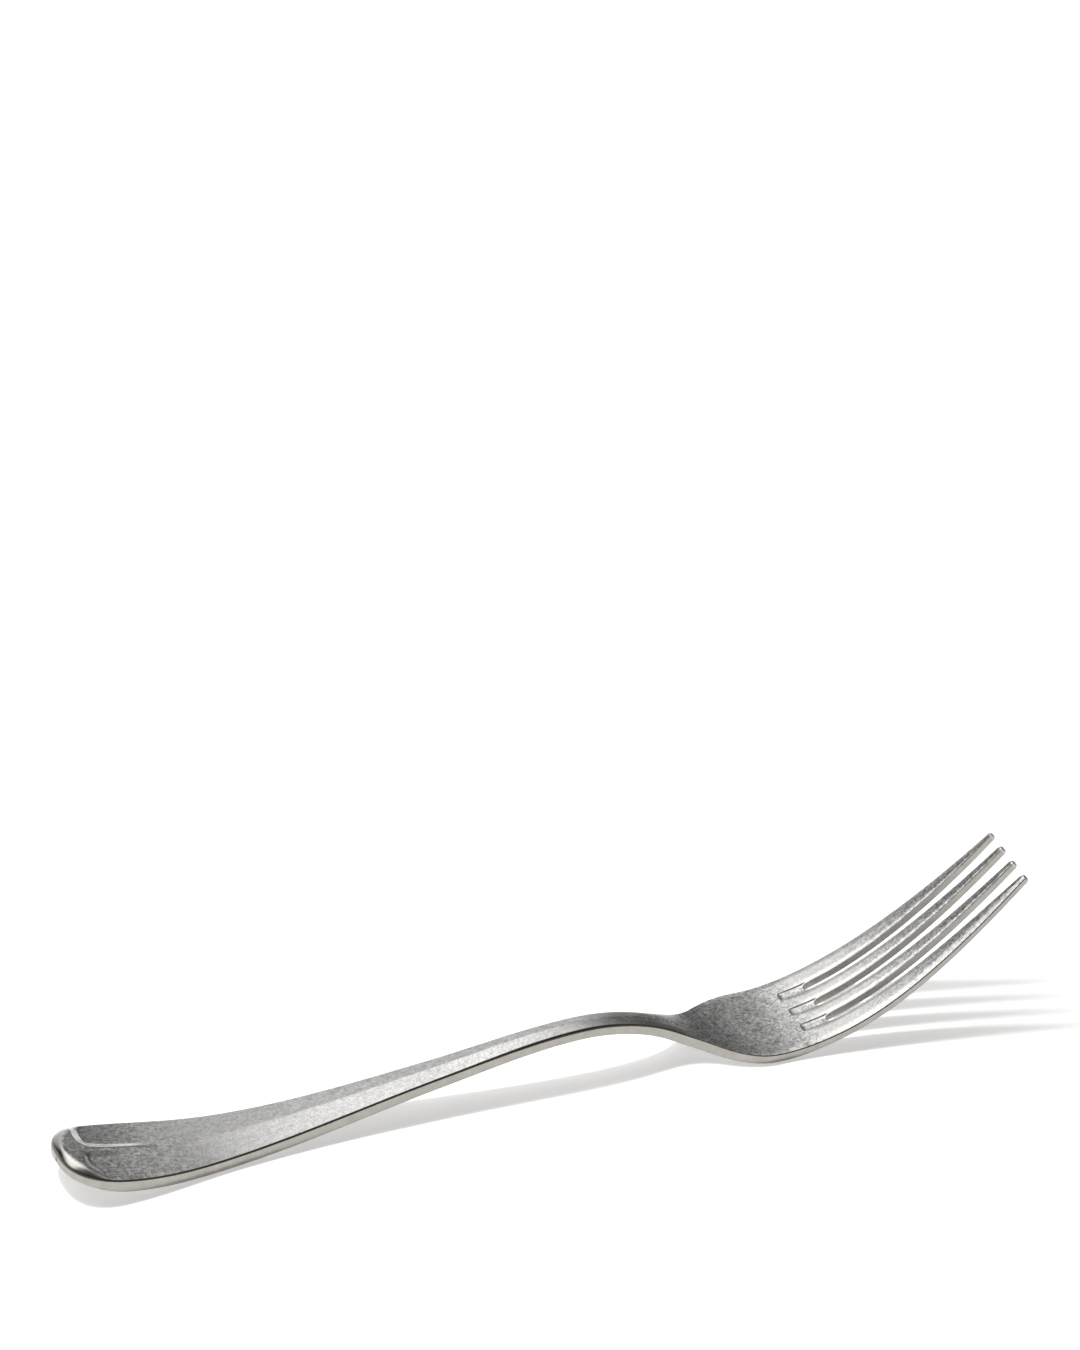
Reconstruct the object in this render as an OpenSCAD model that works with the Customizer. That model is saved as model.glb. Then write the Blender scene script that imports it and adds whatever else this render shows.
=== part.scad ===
// Dessert fork, forged and stamped from one stainless steel blank.
// X runs along the fork with the tines at +X, Y runs across it, and the fork lies on Z = 0.
// All sizes are in millimetres. Every "_at" is a place along the fork, measured from the handle end.
// The fork is a loft: rings stand square to a side profile, which the top edge of the metal follows.

/* [Overall] */
// Length from the handle end to the tine tips, seen from above
overall_len = 180; // [178:1:184]
// Size of the cut that takes the sharpness off the outer edges
edge_cut = 0.35; // [0.2:0.05:0.5]
// Depth that is ground off flat where the fork rests on the table
rest_flat = 0.05; // [0.02:0.01:0.1]

/* [Handle end] */
// Height of the top edge at the end
end_h = 5.6; // [4.5:0.1:7]
// Slope of the top edge at the end
end_slope = -0.2; // [-0.25:0.01:-0.1]
// Thickness of the edge at the end
end_t = 1.6; // [1.4:0.1:2.2]
// Half width of the blunt nose that closes the end
nose_half_w = 1.6; // [1:0.1:2.5]
// Fullness of the rounded end, where 2 is an ellipse and more is squarer
end_fullness = 2.6; // [2:0.1:3]
// Length of the raised thumb pad
pad_len = 4.9; // [4:0.1:7]
// Length over which the pad rises behind the nose
pad_nose = 2.5; // [1.5:0.1:4]
// Height of the thumb pad above the edge
pad_rise = 1; // [0.5:0.05:1.4]
// Length of the step down from the pad
pad_step = 1.2; // [0.8:0.1:2]
// Height of the short ridge that runs on from the pad
ridge_rise = 0.7; // [0.3:0.05:1]
// Half width of that ridge
ridge_half_w = 2; // [1.2:0.1:2.8]
// Length over which the ridge dies away
ridge_len = 14; // [10:1:20]

/* [Handle] */
// Place of the widest point
wide_at = 11; // [9:0.5:14]
// Thickness of the edge at the widest point
wide_t = 2.45; // [2.2:0.05:2.8]
// Half width at the widest point
wide_half_w = 9.5; // [8:0.1:11]
// Place of the lowest point, where the handle rests
low_at = 28; // [24:1:32]
// Thickness of the edge at the lowest point
low_t = 2.25; // [1.8:0.05:2.6]
// Place on the tapering stretch where its width is given
taper_at = 30; // [26:1:34]
// Half width there
taper_half_w = 7.25; // [6.5:0.05:8]
// Slope of the outline there
taper_slope = -0.143; // [-0.17:0.001:-0.12]
// Place on the rising stretch where its height is given
rise_at = 70; // [64:1:76]
// Height of the top edge there
rise_h = 6.6; // [5.8:0.1:7.2]
// Slope of the top edge there
rise_slope = 0.135; // [0.12:0.001:0.16]
// Place on the slender stretch where its width is given
shank_at = 75; // [70:1:80]
// Half width there
shank_half_w = 3; // [2.6:0.05:3.5]
// Slope of the outline there
shank_slope = -0.045; // [-0.06:0.001:-0.03]
// Height of the soft crease along the middle of the top
crease_rise = 0.5; // [0.2:0.05:0.8]
// Softness of the crease, as a share of the half width
crease_soft = 0.25; // [0.1:0.05:0.6]

/* [Neck] */
// Place where the handle ends and the neck begins
neck_at = 88; // [84:1:92]
// Place of the crest of the arch
crest_at = 98; // [96:0.5:100]
// Height of the top edge at the crest
crest_h = 9.8; // [8.5:0.1:11]
// Thickness of the edge at the crest
crest_t = 2.05; // [1.6:0.05:2.4]
// Place of the narrowest point
waist_at = 109; // [107:0.5:111]
// Half width at the narrowest point
waist_half_w = 2.4; // [2:0.05:2.8]
// Place on the falling stretch where its height is given
fall_at = 115; // [113:0.5:117]
// Height of the top edge there
fall_h = 5.6; // [5:0.1:6.5]
// Slope of the top edge there
fall_slope = -0.48; // [-0.54:0.01:-0.42]

/* [Palm] */
// Place where the neck ends and the palm begins
palm_at = 117; // [115:0.5:119]
// Place on the flaring shoulder where its width is given
flare_at = 121; // [120:0.5:122]
// Half width there
flare_half_w = 6.3; // [6:0.1:7.5]
// Slope of the outline there
flare_slope = 0.8; // [0.7:0.01:0.9]
// Place where the palm reaches its full width
full_at = 131; // [129:0.5:133]
// Half width of the palm
palm_half_w = 10.75; // [10:0.05:11.5]
// Place of the heel, where the palm rests
heel_at = 132; // [130:0.5:134]
// Thickness of the palm at the heel
heel_t = 1.9; // [1.4:0.05:2]
// Place where the pressed groove behind each slot ends
groove_at = 137.6; // [136:0.1:139]
// Depth of that groove
groove_depth = 0.6; // [0.3:0.05:0.8]
// Distance that the groove's floor stays inside the line of the slot's wall
groove_corner = 0.1; // [0.05:0.05:0.2]
// Length over which the groove reaches its depth
groove_ramp = 0.9; // [0.6:0.1:1.5]

/* [Tines] */
// Place of the bottom of the slots
root_at = 142.2; // [141:0.1:144]
// Thickness of the tines at their roots
root_t = 1.5; // [1.4:0.05:1.9]
// Length of the rounded bottom of a slot
root_round = 0.8; // [0.5:0.1:1.2]
// Width of the slots at their bottom
slot_w = 2; // [1.6:0.05:2.4]
// Distance between the middles of the slots
slot_pitch = 5.3; // [5:0.05:5.5]
// Cut along the edges of the slots
slot_cut = 0.25; // [0.15:0.05:0.35]
// Height of the top edge at the tips
tip_h = 26.5; // [24:0.1:29]
// Slope of the top edge at the tips
tip_slope = 0.86; // [0.8:0.01:1]
// Thickness at the tips
tip_t = 1.4; // [1.3:0.05:1.6]
// Width of a tine at its tip
tip_w = 1.3; // [1.2:0.05:1.8]
// Distance from the middle of the fork to the outer edge at the tips
tip_half_span = 8.1; // [7.6:0.05:8.6]
// Slope of the outer edge at the tips
tip_narrowing = -0.12; // [-0.16:0.01:-0.06]
// Rounding of the tips
tip_round = 0.4; // [0.2:0.05:0.5]

/* [Hidden] */
steel = [0.64, 0.64, 0.62];

// Place along X of a distance from the handle end
function at(place) = place - overall_len / 2;

// The end ring and the tip ring lean, so they stand back from the ends of the overall length
x_end = at(0) + end_t * sin(atan(-end_slope));
x_pad = at(pad_len);
x_handle = at(pad_len + 2 * pad_step);
x_tip = at(overall_len) - (tip_t - tip_round / 2) * sin(atan(tip_slope));
x_root = at(root_at);

// Share of the way from 0 to 1, held at both ends
function share(t) = min(1, max(0, t));
function ease(t) = share(t) * share(t) * (3 - 2 * share(t));
function blend(a, b, t) = a + (b - a) * t;
function quarter_round(t) = sqrt(max(0, 1 - (1 - share(t)) * (1 - share(t))));

// Smooth curve through keys of [place, value, slope]
function key_before(keys, x) = max([for (i = [0 : len(keys) - 2]) if (i == 0 || x >= keys[i][0]) i]);
function curve_piece(a, b, t) =
    let (d = b[0] - a[0])
    a[1] * (1 + 2 * t) * (1 - t) * (1 - t) + a[2] * d * t * (1 - t) * (1 - t)
    + b[1] * t * t * (3 - 2 * t) - b[2] * d * t * t * (1 - t);
function slope_piece(a, b, t) =
    6 * (b[1] - a[1]) / (b[0] - a[0]) * t * (1 - t)
    + a[2] * (1 - t) * (1 - 3 * t) + b[2] * t * (3 * t - 2);
function curve(keys, x) =
    let (i = key_before(keys, x), a = keys[i], b = keys[i + 1])
    curve_piece(a, b, share((x - a[0]) / (b[0] - a[0])));
function curve_slope(keys, x) =
    let (i = key_before(keys, x), a = keys[i], b = keys[i + 1])
    slope_piece(a, b, share((x - a[0]) / (b[0] - a[0])));

// Side profile: height of the top edge and thickness of the metal
edge_keys = [
    [x_end, end_h, end_slope],
    [at(low_at), low_t - rest_flat, 0],
    [at(rise_at), rise_h, rise_slope],
    [at(crest_at), crest_h, 0],
    [at(fall_at), fall_h, fall_slope],
    [at(heel_at), heel_t - rest_flat, 0],
    [x_tip, tip_h, tip_slope]
];
thick_keys = [
    [x_end, end_t, 0],
    [at(wide_at), wide_t, 0],
    [at(low_at), low_t, 0],
    [at(crest_at), crest_t, 0],
    [at(heel_at), heel_t, 0],
    [x_root, root_t, 0],
    [x_tip, tip_t, 0]
];
function thickness(x) = curve(thick_keys, x);

// Outline seen from above
width_keys = [
    [at(wide_at), wide_half_w, 0],
    [at(taper_at), taper_half_w, taper_slope],
    [at(shank_at), shank_half_w, shank_slope],
    [at(waist_at), waist_half_w, 0],
    [at(flare_at), flare_half_w, flare_slope],
    [at(full_at), palm_half_w, 0],
    [x_root, palm_half_w, 0],
    [x_tip, tip_half_span, tip_narrowing]
];
function rounded(q) = pow(max(0, 1 - pow(q, end_fullness)), 1 / end_fullness);
end_reach = (at(wide_at) - x_end) / rounded(nose_half_w / wide_half_w);
function half_width(x) =
    x < at(wide_at) ? wide_half_w * rounded((at(wide_at) - x) / end_reach) : curve(width_keys, x);
function flat_half_width(x) = half_width(x) - edge_cut;

// Height of the top above the line of its edge
crease_keys = [
    [x_end, 0, 0],
    [at(low_at), crease_rise, 0],
    [at(fall_at), crease_rise, 0],
    [at(full_at), 0, 0],
    [x_tip, 0, 0]
];
function roof(u) =
    let (top = sqrt(1 + crease_soft * crease_soft))
    (top - sqrt(u * u + crease_soft * crease_soft)) / (top - crease_soft);
function past_pad(x) = ease((x - x_pad) / pad_step);
function pad(x) = pad_rise * quarter_round((x - x_end) / pad_nose) * (1 - past_pad(x));
function ridge(x) = ridge_rise * past_pad(x) * (1 - ease((x - x_pad) / ridge_len));
function ridge_form(y) = pow(max(0, 1 - pow(y / ridge_half_w, 2)), 2);
function top_rise(x, y) =
    let (u = min(1, abs(y) / flat_half_width(x)))
    curve(crease_keys, x) * roof(u) + pad(x) * (1 - pow(u, 4)) + ridge(x) * ridge_form(y) * (1 - u);

// A ring is an upper and a lower row of [y, rise above the edge line], both from -Y to +Y and equally long.
// It stands square to the side profile at x and is kept above the table.
function backwards(list) = [for (i = [len(list) - 1 : -1 : 0]) list[i]];
function stand(x, upper, lower) =
    let (slope = curve_slope(edge_keys, x), size = sqrt(1 + slope * slope), z = curve(edge_keys, x))
    [for (p = concat(upper, backwards(lower)))
        [x - p[1] * slope / size, p[0], max(0, z + p[1] / size)]];

// Ring of the full width: lines holds [share of the flat half width, drop below the crowned top]
function full_ring(x, lines) =
    let (w = half_width(x), flat = flat_half_width(x), t = thickness(x))
    stand(
        x,
        concat(
            [[-w, -edge_cut]],
            [for (line = lines) [line[0] * flat, top_rise(x, line[0] * flat) - line[1]]],
            [[w, -edge_cut]]),
        concat(
            [[-w, edge_cut - t]],
            [for (line = lines) [line[0] * flat, -t]],
            [[w, edge_cut - t]]));

// Ring of the handle and the neck
handle_lines = [0, 0.08, 0.17, 0.3, 0.5, 0.7, 0.86, 1];
function plain_ring(x) =
    full_ring(x, [for (side = [-1, 1], u = side < 0 ? backwards(handle_lines) : handle_lines)
        if (side < 0 || u > 0) [side * u, 0]]);

// Ring of the palm, with lines along the pressed grooves
slot_half = slot_w / 2;
groove_lip = slot_half + slot_cut;
groove_floor = slot_half - groove_corner;
palm_flat = palm_half_w - edge_cut;
tine_middle = slot_pitch / 2;
outer_middle = (slot_pitch + slot_half + palm_half_w) / 2;
side_lag = 0.5;
function groove(x, lag) = groove_depth * ease((x - at(groove_at)) / groove_ramp - lag);
function groove_lines(x, s) = [
    [s - groove_lip, 0],
    [s - groove_floor, groove(x, side_lag)],
    [s, groove(x, 0)],
    [s + groove_floor, groove(x, side_lag)],
    [s + groove_lip, 0]
];
function palm_lines(x) = concat(
    [[-palm_flat, 0], [-outer_middle, 0]],
    groove_lines(x, -slot_pitch),
    [[-tine_middle, 0]],
    groove_lines(x, 0),
    [[tine_middle, 0]],
    groove_lines(x, slot_pitch),
    [[outer_middle, 0], [palm_flat, 0]]);
function palm_ring(x) = full_ring(x, [for (line = palm_lines(x)) [line[0] / palm_flat, line[1]]]);

// Width of a tine: it keeps its width near the root and draws in towards the tip
inner_root_w = slot_pitch - slot_w;
outer_root_w = palm_half_w - slot_pitch - slot_half;
tip_pitch = (2 * tip_half_span - tip_w) / 3;
function along_tine(x) = share((x - x_root) / (x_tip - x_root));
function tine_w(root_w, x) = blend(root_w, tip_w, along_tine(x) * along_tine(x));
function inner_middle(x) = blend(tine_middle, tip_pitch / 2, along_tine(x));

// The slot opens at its rounded bottom. As it opens past a set share of its width, the groove's floor
// turns into the cut along the tine's edge.
turn_from = 0.6;
cut_bend = 0.4;
seam_cut = 0.05;
under_inset = 1.5;
function slot_open(x) = quarter_round((x - x_root) / root_round);
function turned(x) = share((slot_open(x) - turn_from) / (1 - turn_from));
function slot_wall(x, side, y) = y - side * slot_half * (1 - slot_open(x));
function slot_edge(x, side, y) =
    let (turn = turned(x), bend = cut_bend * slot_cut)
    [
        [slot_wall(x, side, y), -blend(groove_depth, slot_cut, turn)],
        [y - side * blend(groove_corner, -bend, turn), -blend(groove_depth, bend, turn)],
        [y + side * slot_cut, 0]
    ];
function slot_under(x, side, y) =
    let (cut = blend(seam_cut, slot_cut, turned(x)), wall = slot_wall(x, side, y), t = thickness(x))
    [
        [wall, cut - t],
        [wall + side * cut, -t],
        [y + side * under_inset * slot_cut, -t]
    ];
function outer_edge(w) = [[w - edge_cut, 0], [w - edge_cut / 2, -edge_cut / 2], [w, -edge_cut]];
function outer_under(x, w) =
    let (t = thickness(x))
    [[w - under_inset * edge_cut, -t], [w - edge_cut, -t], [w, edge_cut - t]];

// Ring of a tine between two edges, drawn in a little at the very tip
tine_lines = [0.25, 0.5, 0.75];
function tine_ring(x, low, high, low_under, high_under) =
    let (
        t = thickness(x),
        a = low[2][0],
        b = high[0][0],
        middle = blend(a, b, 0.5),
        sideways = x < x_tip ? 0 : tip_round / tip_w,
        inward = x < x_tip ? 0 : tip_round / 2 / tip_t,
        upper = concat(low, [for (u = tine_lines) [blend(a, b, u), 0]], high),
        lower = concat(low_under, [for (u = tine_lines) [blend(a, b, u), -t]], high_under))
    stand(
        x,
        [for (p = upper) [blend(p[0], middle, sideways), blend(p[1], -t, inward)]],
        [for (p = lower) [blend(p[0], middle, sideways), blend(p[1], 0, inward)]]);
function inner_ring(x) =
    let (
        half = tine_w(inner_root_w, x) / 2,
        low = inner_middle(x) - half,
        high = inner_middle(x) + half)
    tine_ring(
        x,
        slot_edge(x, 1, low),
        backwards(slot_edge(x, -1, high)),
        slot_under(x, 1, low),
        backwards(slot_under(x, -1, high)));
function outer_ring(x) =
    let (w = half_width(x), low = w - tine_w(outer_root_w, x))
    tine_ring(x, slot_edge(x, 1, low), outer_edge(w), slot_under(x, 1, low), outer_under(x, w));

// Places of the rings along each zone, closer together where the form turns quickly
function steps(from, to, count) = [for (i = [0 : count]) blend(from, to, i / count)];
function steps_after(from, to, count) = [for (i = [1 : count]) blend(from, to, i / count)];
x_nose = x_end + pad_nose;
x_groove = at(groove_at);
x_groove_full = x_groove + (1 + side_lag) * groove_ramp;
x_slot_full = x_root + root_round;
turn_step = 15;
end_places = concat(
    [for (turn = [0 : turn_step : 90]) x_end + pad_nose * (1 - cos(turn))],
    steps_after(x_nose, x_pad, 3),
    steps_after(x_pad, x_handle, 8));
handle_places = steps(x_handle, at(neck_at), 40);
neck_places = steps(at(neck_at), at(palm_at), 20);
palm_places = concat(
    steps(at(palm_at), x_groove, 20),
    steps_after(x_groove, x_groove_full, 10),
    steps_after(x_groove_full, x_root, 4));
tine_places = concat(
    [for (turn = [0 : turn_step : 90]) x_root + root_round * (1 - cos(turn))],
    steps_after(x_slot_full, x_tip - tip_round, 24),
    [x_tip]);

// Closed skin over a row of rings
function split(a, b, c, d) = [[a, b, c], [a, c, d]];
module loft(rings) {
    n = len(rings[0]);
    last = (len(rings) - 1) * n;
    skin = [for (row = [0 : n : last - n], j = [0 : n - 1])
        let (k = (j + 1) % n)
        each split(row + j, row + k, row + n + k, row + n + j)];
    caps = [for (j = [0 : n / 2 - 2])
        each concat(
            split(n - 1 - j, n - 2 - j, j + 1, j),
            split(last + j, last + j + 1, last + n - 2 - j, last + n - 1 - j))];
    polyhedron(points = [for (ring = rings) each ring], faces = concat(skin, caps));
}

module handle_end() {
    color(steel) loft([for (x = end_places) plain_ring(x)]);
}

module handle() {
    color(steel) loft([for (x = handle_places) plain_ring(x)]);
}

module neck() {
    color(steel) loft([for (x = neck_places) plain_ring(x)]);
}

module palm() {
    color(steel) loft([for (x = palm_places) palm_ring(x)]);
}

module inner_tine() {
    color(steel) loft([for (x = tine_places) inner_ring(x)]);
}

module outer_tine() {
    color(steel) loft([for (x = tine_places) outer_ring(x)]);
}

module tine_1() {
    mirror([0, 1, 0]) outer_tine();
}

module tine_2() {
    mirror([0, 1, 0]) inner_tine();
}

module tine_3() {
    inner_tine();
}

module tine_4() {
    outer_tine();
}

handle_end();
handle();
neck();
palm();
tine_1();
tine_2();
tine_3();
tine_4();
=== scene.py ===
"""Looks of a dessert fork in tumbled stainless steel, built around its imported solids.

X runs along the fork with the tines at +X, Y runs across it, and the fork lies on Z = 0.
Shapes are worked out in millimetres and go into the meshes in metres.
"""

import math

import bpy
import numpy as np
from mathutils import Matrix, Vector


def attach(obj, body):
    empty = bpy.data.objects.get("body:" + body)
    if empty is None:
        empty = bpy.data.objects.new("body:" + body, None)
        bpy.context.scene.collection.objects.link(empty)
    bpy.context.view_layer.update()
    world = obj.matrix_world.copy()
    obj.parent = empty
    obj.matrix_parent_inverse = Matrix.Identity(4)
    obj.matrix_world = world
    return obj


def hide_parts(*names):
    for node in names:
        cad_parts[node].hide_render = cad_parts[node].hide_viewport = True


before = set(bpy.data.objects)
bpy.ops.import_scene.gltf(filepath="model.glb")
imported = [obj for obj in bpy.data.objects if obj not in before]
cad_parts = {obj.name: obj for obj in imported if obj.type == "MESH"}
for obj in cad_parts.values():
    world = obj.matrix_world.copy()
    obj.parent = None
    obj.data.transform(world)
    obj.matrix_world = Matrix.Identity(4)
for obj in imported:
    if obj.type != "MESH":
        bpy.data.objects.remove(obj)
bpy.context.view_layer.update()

MM = 0.001

# Places along the fork, measured from the handle end
OVERALL_LEN = 180.0
PAD_AT = 4.6
HANDLE_AT = 8.5
WIDE_AT = 11.0
LOW_AT = 28.0
TAPER_AT = 30.0
RISE_AT = 70.0
SHANK_AT = 75.0
NECK_AT = 88.0
CREST_AT = 98.0
WAIST_AT = 109.0
FALL_AT = 115.0
PALM_AT = 117.0
FLARE_AT = 121.0
FULL_AT = 131.0
HEEL_AT = 132.0
GROOVE_AT = 137.6
ROOT_AT = 142.2

# How far the first and last rings stand back, so that the leaning ends stay in the solids' box
END_GAP, TIP_GAP = 0.22, 0.3

# Side profile
REST_FLAT = 0.05
END_H, END_SLOPE, END_T = 5.6, -0.2, 1.6
WIDE_T = 2.45
LOW_T = 2.25
RISE_H, RISE_SLOPE = 6.55, 0.132
CREST_H, CREST_T = 9.75, 2.05
FALL_H, FALL_SLOPE = 5.6, -0.48
HEEL_T = 1.9
ROOT_T = 1.5
TIP_H, TIP_SLOPE, TIP_T = 26.3, 0.86, 1.4

# Outline
WIDE_HALF_W = 9.5
END_FULLNESS = 2.65
NOSE_HALF_W = 0.3
TAPER_HALF_W, TAPER_SLOPE = 7.25, -0.143
SHANK_HALF_W, SHANK_SLOPE = 3.0, -0.045
WAIST_HALF_W = 2.4
FLARE_HALF_W, FLARE_SLOPE = 6.3, 0.8
PALM_HALF_W = 10.75
TIP_HALF_SPAN, TIP_NARROWING = 8.1, -0.1

# Raised thumb pad, the ridge that runs on from it, and the soft crease of the handle
PAD_RISE, PAD_SAG = 1.15, 0.1
NOSE_SHOULDER, SIDE_SHOULDER, SHOULDER_TURN = 1.6, 3.2, 5.0
SHOULDER_SWELL = 3
STEEP_STEP_LEN, NEAR_STEP_LEN, FAR_STEP_LEN = 1.5, 3.8, 2.3
STEP_TURN, FAR_STEP_SHIFT, FAR_STEP_FADE = 4.0, 0.7, 1.0
STEP_TOP_SOFT, STEP_FOOT_SOFT = 0.2, 0.2
STEP_BOW = 0.9
NEAR_SPREAD_FROM, NEAR_SPREAD_OVER, FAR_FADE_FROM = 0.25, 0.5, 0.75
RIDGE_LEN, RIDGE_HALF_W, RIDGE_TAPER = 14.0, 3.0, 0.55
RIDGE_SOFT = 0.3
RIDGE_FLARE, RIDGE_FLARE_LEN = 1.6, 5.0
SCOOP_RISE, SCOOP_LEN = 0.2, 10.0
CREASE_RISE, SHANK_CREASE, CREASE_SOFT = 0.6, 0.42, 0.04
CREASE_START_SLOPE = 0.04
NECK_RISE, NECK_FULLNESS = 0.16, 4

# Rounding of the outer edges: a pressed round stops short of the trimmed wall
END_ROUND, WIDE_ROUND, HANDLE_ROUND = 0.35, 0.46, 0.42
CREST_ROUND, WAIST_ROUND = 0.58, 0.45
PALM_ROUND, TIP_EDGE_ROUND = 0.18, 0.14
ROUND_STOP = math.radians(68)
TRIM_ROUND = 0.1
UNDER_ROUND = 0.25
WALL_LEAN = 0.05
EDGE_SHARE = 0.9
JUST_INSIDE = 0.9999

# Slots between the tines, and the pressed groove behind each slot
SLOT_W, SLOT_PITCH = 2.0, 5.3
SLOT_CUT = 0.25
ROOT_ROUND = 0.8
GROOVE_DEPTH, GROOVE_RUN, GROOVE_SWELL, GROOVE_CORNER = 0.2, 1.1, 3.0, 0.6
GROOVE_FADE = 2.0
LEAST_LIP_SIZE = 0.01
STEEPEST_TURN = 50
LIP_ROLL, LIP_REACH = 0.13, 1.1
OUTER_ROLL, OUTER_REACH = 0.25, 1.7
CROWN = 0.12
TIP_W = 1.15
TIP_ROUND, TIP_DRAW = 0.7, 0.7
INNER_ROOT_W = SLOT_PITCH - SLOT_W


def at(place):
    """Place along X of a distance from the handle end."""
    return place - OVERALL_LEN / 2


X_END = at(END_GAP)
X_PAD = at(PAD_AT)
X_HANDLE = at(HANDLE_AT)
X_GROOVE = at(GROOVE_AT)
X_ROOT = at(ROOT_AT)
X_TIP = at(OVERALL_LEN - TIP_GAP) - (TIP_T - TIP_ROUND / 2) * math.sin(math.atan(TIP_SLOPE))


def share(t):
    """Keeps a share between 0 and 1."""
    return np.clip(t, 0, 1)


def ease(t):
    """Smooth way from 0 to 1."""
    t = share(t)
    return t * t * (3 - 2 * t)


def blend(a, b, t):
    """Value a share t of the way from a to b."""
    return a + (b - a) * t


def quarter_round(t):
    """Rise of a quarter circle from 0 to 1."""
    return np.sqrt(1 - (1 - share(t)) ** 2)


def ramp(t, start_soft, end_soft):
    """Straight way from 0 to 1 whose start and end are rounded over the given shares of its length."""
    t = share(t)
    steep = 1 / (1 - (start_soft + end_soft) / 2)
    start = np.minimum(t, start_soft)
    end = np.minimum(1 - t, end_soft)
    lost_start = start * (1 - start / (2 * start_soft))
    kept_end = np.where(1 - t < end_soft, end_soft / 2 - end * end / (2 * end_soft), 0)
    straight = np.minimum(t, 1 - end_soft) - lost_start
    return np.clip(steep * (straight + kept_end), 0, 1)


class Curve:
    """Smooth curve through keys of (place along X, value, slope)."""

    def __init__(self, *keys):
        self.places, self.values, self.slopes = np.array(keys, float).T

    def spot(self, x):
        i = np.clip(np.searchsorted(self.places, x, side="right") - 1, 0, len(self.places) - 2)
        reach = self.places[i + 1] - self.places[i]
        return i, reach, share((x - self.places[i]) / reach)

    def __call__(self, x):
        i, reach, t = self.spot(np.asarray(x, float))
        start = self.values[i] * (1 + 2 * t) + self.slopes[i] * reach * t
        end = self.values[i + 1] * (3 - 2 * t) - self.slopes[i + 1] * reach * (1 - t)
        return start * (1 - t) ** 2 + end * t**2

    def slope(self, x):
        i, reach, t = self.spot(np.asarray(x, float))
        chord = (self.values[i + 1] - self.values[i]) / reach
        from_start = self.slopes[i] * (1 - t) * (1 - 3 * t)
        from_end = self.slopes[i + 1] * t * (3 * t - 2)
        return 6 * chord * t * (1 - t) + from_start + from_end


edge_height = Curve(
    (X_END, END_H, END_SLOPE),
    (at(LOW_AT), LOW_T - REST_FLAT, 0),
    (at(RISE_AT), RISE_H, RISE_SLOPE),
    (at(CREST_AT), CREST_H, 0),
    (at(FALL_AT), FALL_H, FALL_SLOPE),
    (at(HEEL_AT), HEEL_T - REST_FLAT, 0),
    (X_TIP, TIP_H, TIP_SLOPE),
)
thickness = Curve(
    (X_END, END_T, 0),
    (at(WIDE_AT), WIDE_T, 0),
    (at(LOW_AT), LOW_T, 0),
    (at(CREST_AT), CREST_T, 0),
    (at(HEEL_AT), HEEL_T, 0),
    (X_ROOT, ROOT_T, 0),
    (X_TIP, TIP_T, 0),
)
side_line = Curve(
    (at(WIDE_AT), WIDE_HALF_W, 0),
    (at(TAPER_AT), TAPER_HALF_W, TAPER_SLOPE),
    (at(SHANK_AT), SHANK_HALF_W, SHANK_SLOPE),
    (at(WAIST_AT), WAIST_HALF_W, 0),
    (at(FLARE_AT), FLARE_HALF_W, FLARE_SLOPE),
    (at(FULL_AT), PALM_HALF_W, 0),
    (X_ROOT, PALM_HALF_W, 0),
    (X_TIP, TIP_HALF_SPAN, TIP_NARROWING),
)
crease = Curve(
    (X_END, 0, CREASE_START_SLOPE),
    (at(LOW_AT), CREASE_RISE, 0),
    (at(RISE_AT), SHANK_CREASE, 0),
    (at(NECK_AT), SHANK_CREASE, 0),
    (at(WAIST_AT), 0, 0),
    (X_TIP, 0, 0),
)
neck_crown = Curve(
    (at(NECK_AT), 0, 0),
    (at(WAIST_AT), NECK_RISE, 0),
    (at(FALL_AT), NECK_RISE, 0),
    (at(FLARE_AT), 0, 0),
)
edge_round = Curve(
    (X_END, END_ROUND, 0),
    (at(WIDE_AT), WIDE_ROUND, 0),
    (at(RISE_AT), HANDLE_ROUND, 0),
    (at(CREST_AT), CREST_ROUND, 0),
    (at(WAIST_AT), WAIST_ROUND, 0),
    (at(FLARE_AT), PALM_ROUND, 0),
    (X_ROOT, PALM_ROUND, 0),
    (X_TIP, TIP_EDGE_ROUND, 0),
)

# Rounded end of the handle: a squared ellipse from the widest point to the end
END_REACH = at(WIDE_AT) - X_END


def end_half_width(x):
    back = share((at(WIDE_AT) - x) / END_REACH)
    return WIDE_HALF_W * (1 - back**END_FULLNESS) ** (1 / END_FULLNESS)


def end_place(half_w):
    """Place along X where the rounded end has a half width."""
    return at(WIDE_AT) - END_REACH * (1 - (half_w / WIDE_HALF_W) ** END_FULLNESS) ** (1 / END_FULLNESS)


def half_width(x):
    return np.where(x < at(WIDE_AT), end_half_width(x), side_line(x))


def edge_inset(x, y):
    """Distance in from the outer edge, and the edge's outward direction as (along the fork, across it)."""
    back = share((at(WIDE_AT) - x) / END_REACH)
    out = np.abs(y) / WIDE_HALF_W
    n = END_FULLNESS
    grow_x = -n * back ** (n - 1) / END_REACH
    grow_y = n * np.maximum(out, 1e-6) ** (n - 1) / WIDE_HALF_W
    size = np.hypot(grow_x, grow_y)
    end_inset = (1 - back**n - out**n) / size
    turn = side_line.slope(x) / np.hypot(1, edge_height.slope(x))
    length = np.hypot(1, turn)
    side_inset = (side_line(x) - np.abs(y)) / length
    at_end = x < at(WIDE_AT)
    along = np.where(at_end, grow_x / size, -turn / length)
    across = np.where(at_end, grow_y / size, 1 / length)
    return np.where(at_end, end_inset, side_inset), along, across * np.sign(y)


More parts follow.
